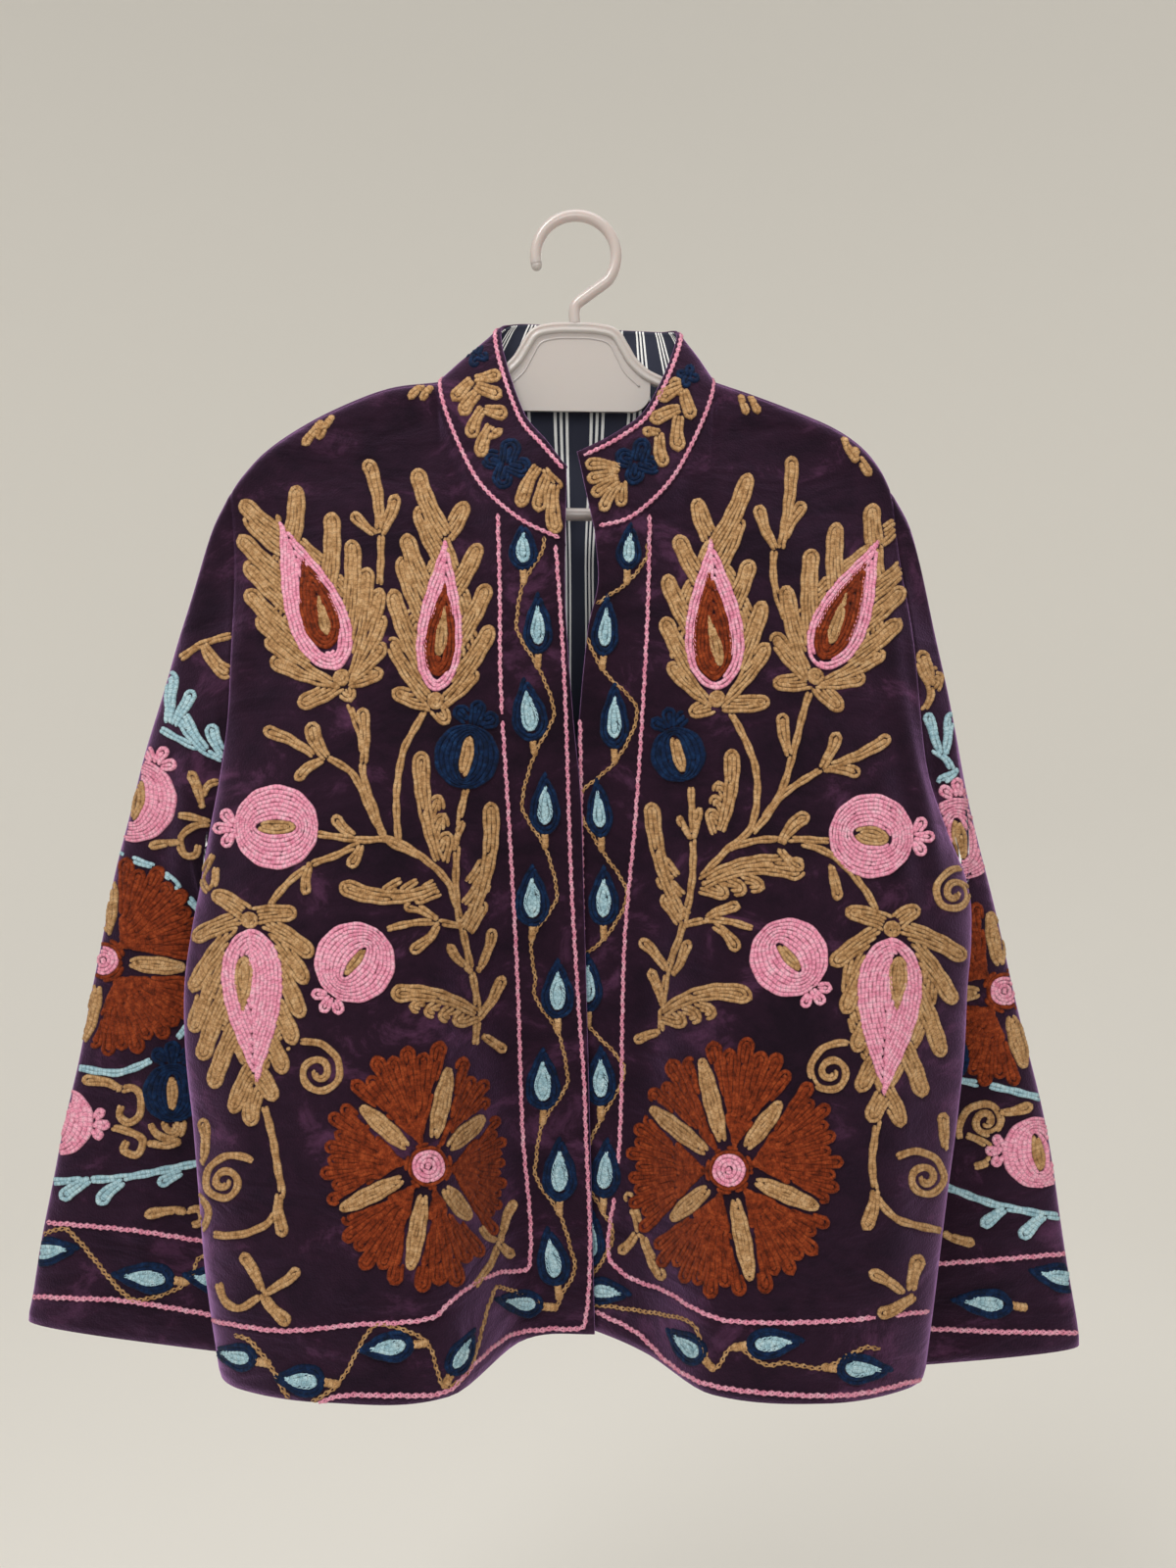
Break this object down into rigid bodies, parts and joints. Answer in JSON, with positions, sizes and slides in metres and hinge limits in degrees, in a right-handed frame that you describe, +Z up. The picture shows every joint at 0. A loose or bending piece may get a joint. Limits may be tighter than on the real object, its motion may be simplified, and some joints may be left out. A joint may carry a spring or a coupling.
{
  "type": "suzani jacket on a clothes hanger",
  "caption": "Short velvet jacket with a stand collar and raised floral chain-stitch embroidery, hanging open on a one-piece plastic hanger.",
  "frame": {"origin": "top of the inside of the hanger's hook, where the rail or wall hook carries it", "axes": "+Z up, +X to the right as seen from the jacket's front, +Y towards the wall behind it"},
  "size_m": [0.675, 0.1085, 0.7399],
  "materials": {
    "velvet": "aubergine pile",
    "lining": "smooth striped cotton",
    "hanger_plastic": "satin",
    "thread_gold": "silk thread",
    "thread_pink": "silk thread",
    "thread_rust": "silk thread",
    "thread_navy": "silk thread",
    "thread_blue": "silk thread"
  },
  "bodies": {
    "root": {"back": "velvet", "front_left": "velvet", "front_right": "velvet", "sleeve_left": "velvet", "sleeve_right": "velvet", "collar": "velvet", "collar_lining": "lining", "back_lining": "lining", "hanger": "hanger_plastic"}
  },
  "joints": []
}
